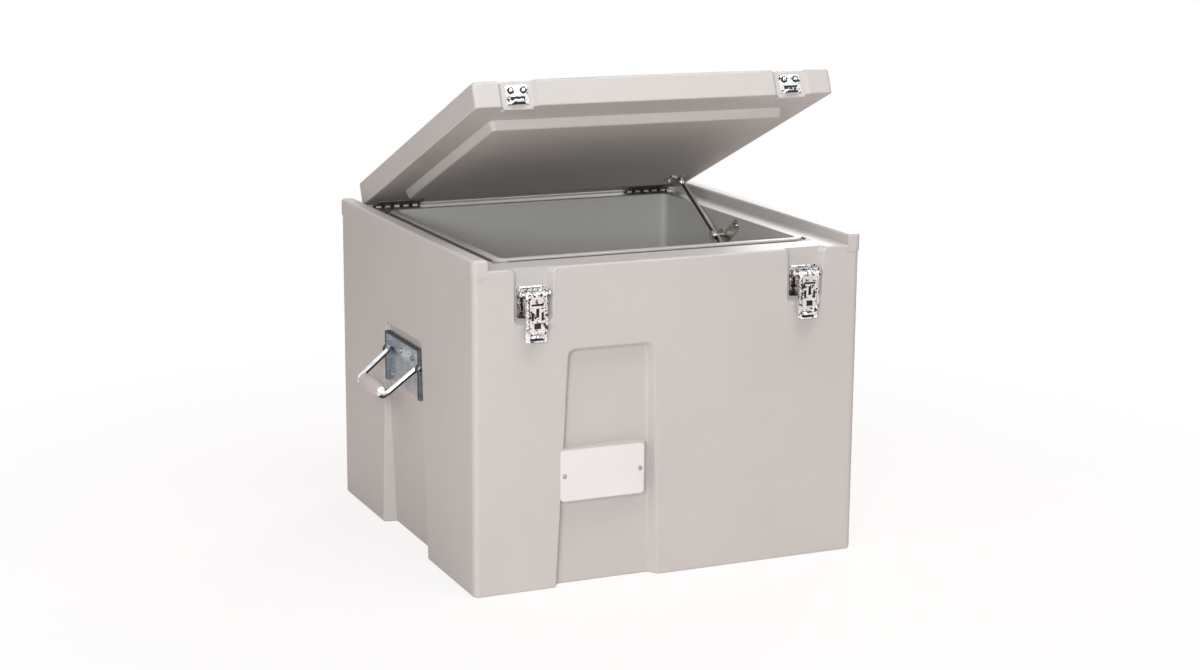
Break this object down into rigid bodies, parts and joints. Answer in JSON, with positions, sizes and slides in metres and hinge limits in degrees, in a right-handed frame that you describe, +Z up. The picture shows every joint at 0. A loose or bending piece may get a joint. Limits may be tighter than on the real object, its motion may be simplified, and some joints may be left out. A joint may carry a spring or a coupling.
{
  "type": "dry ice storage chest",
  "caption": "Insulated moulded chest with a hinged plug lid, draw latches on the front, a slotted lid stay and a bail handle on each side.",
  "frame": {"origin": "middle of the body's footprint, on the surface that the chest stands on", "axes": "+Z up, +X to the right seen from the front, +Y towards the hinges at the back"},
  "size_m": [0.7206, 0.6013, 0.7115],
  "materials": {
    "shell": "matte",
    "foam": "matte",
    "chrome": "polished",
    "zinc": "satin",
    "steel": "satin",
    "label": "gloss",
    "grip": "satin"
  },
  "bodies": {
    "chest": {"body_skin": "shell", "body_foam": "foam", "label_plate": "label", "label_screws": "steel", "hinge_body_screws": "steel", "stay_wall_plate": "steel", "stay_wall_screws": "steel", "hinge_fixed_leaf_left": "steel", "hinge_pin_left": "steel", "latch_base_left": "chrome", "latch_pin_left": "chrome", "latch_screws_left": "chrome", "handle_plate_left": "zinc", "handle_screws_left": "zinc", "hinge_fixed_leaf_right": "steel", "hinge_pin_right": "steel", "latch_base_right": "chrome", "latch_pin_right": "chrome", "latch_screws_right": "chrome", "handle_plate_right": "zinc", "handle_screws_right": "zinc"},
    "lid": {"lid_skin": "shell", "lid_foam": "foam", "hinge_lid_screws": "steel", "strike_screws": "chrome", "stay_bracket": "steel", "stay_bracket_screws": "steel", "stay_rivet": "steel", "hinge_moving_leaf_left": "steel", "strike_left": "chrome", "hinge_moving_leaf_right": "steel", "strike_right": "chrome"},
    "stay_arm": {"stay_arm": "steel"},
    "stay_knob": {"stay_knob": "steel"},
    "latch_lever_left": {"latch_lever_left": "chrome", "latch_claw_pin_left": "chrome"},
    "latch_claw_left": {"latch_claw_left": "chrome"},
    "bail_left": {"bail_left": "zinc", "grip_left": "grip"},
    "latch_lever_right": {"latch_lever_right": "chrome", "latch_claw_pin_right": "chrome"},
    "latch_claw_right": {"latch_claw_right": "chrome"},
    "bail_right": {"bail_right": "zinc", "grip_right": "grip"}
  },
  "joints": [
    {"name": "lid_hinge", "type": "hinge", "parent": "chest", "child": "lid", "pos_m": [0, 0.2685, 0.466], "axis": [-1, 0, 0], "range_deg": [-22.5, 52.5]},
    {"name": "stay_arm_pivot", "type": "hinge", "parent": "lid", "child": "stay_arm", "pos_m": [0.221, 0.13944, 0.49673], "axis": [1, 0, 0], "range_deg": [-27, 62.7]},
    {"name": "stay_knob_slide", "type": "slide", "parent": "stay_arm", "child": "stay_knob", "axis": [0, -0.8789, -0.4771], "range_m": [-0.0486, 0.113]},
    {"name": "latch_lever_left_pivot", "type": "hinge", "parent": "chest", "child": "latch_lever_left", "pos_m": [-0.211, -0.2949, 0.425], "axis": [1, 0, 0], "range_deg": [-80, 0]},
    {"name": "latch_claw_left_pivot", "type": "hinge", "parent": "latch_lever_left", "child": "latch_claw_left", "pos_m": [-0.211, -0.305, 0.4265], "axis": [-1, 0, 0], "range_deg": [0, 195]},
    {"name": "bail_left_pivot", "type": "hinge", "parent": "chest", "child": "bail_left", "pos_m": [-0.3005, 0, 0.281], "axis": [0, 1, 0], "range_deg": [-42, 38]},
    {"name": "latch_lever_right_pivot", "type": "hinge", "parent": "chest", "child": "latch_lever_right", "pos_m": [0.211, -0.2949, 0.425], "axis": [1, 0, 0], "range_deg": [-80, 0]},
    {"name": "latch_claw_right_pivot", "type": "hinge", "parent": "latch_lever_right", "child": "latch_claw_right", "pos_m": [0.211, -0.305, 0.4265], "axis": [-1, 0, 0], "range_deg": [0, 195]},
    {"name": "bail_right_pivot", "type": "hinge", "parent": "chest", "child": "bail_right", "pos_m": [0.3005, 0, 0.281], "axis": [0, -1, 0], "range_deg": [-42, 38]}
  ],
  "couplings": [
    {"joint": "stay_arm_pivot", "follows": "lid_hinge", "ratio": 1.1898},
    {"joint": "stay_knob_slide", "follows": "lid_hinge", "m_per_rad": 0.12302}
  ]
}
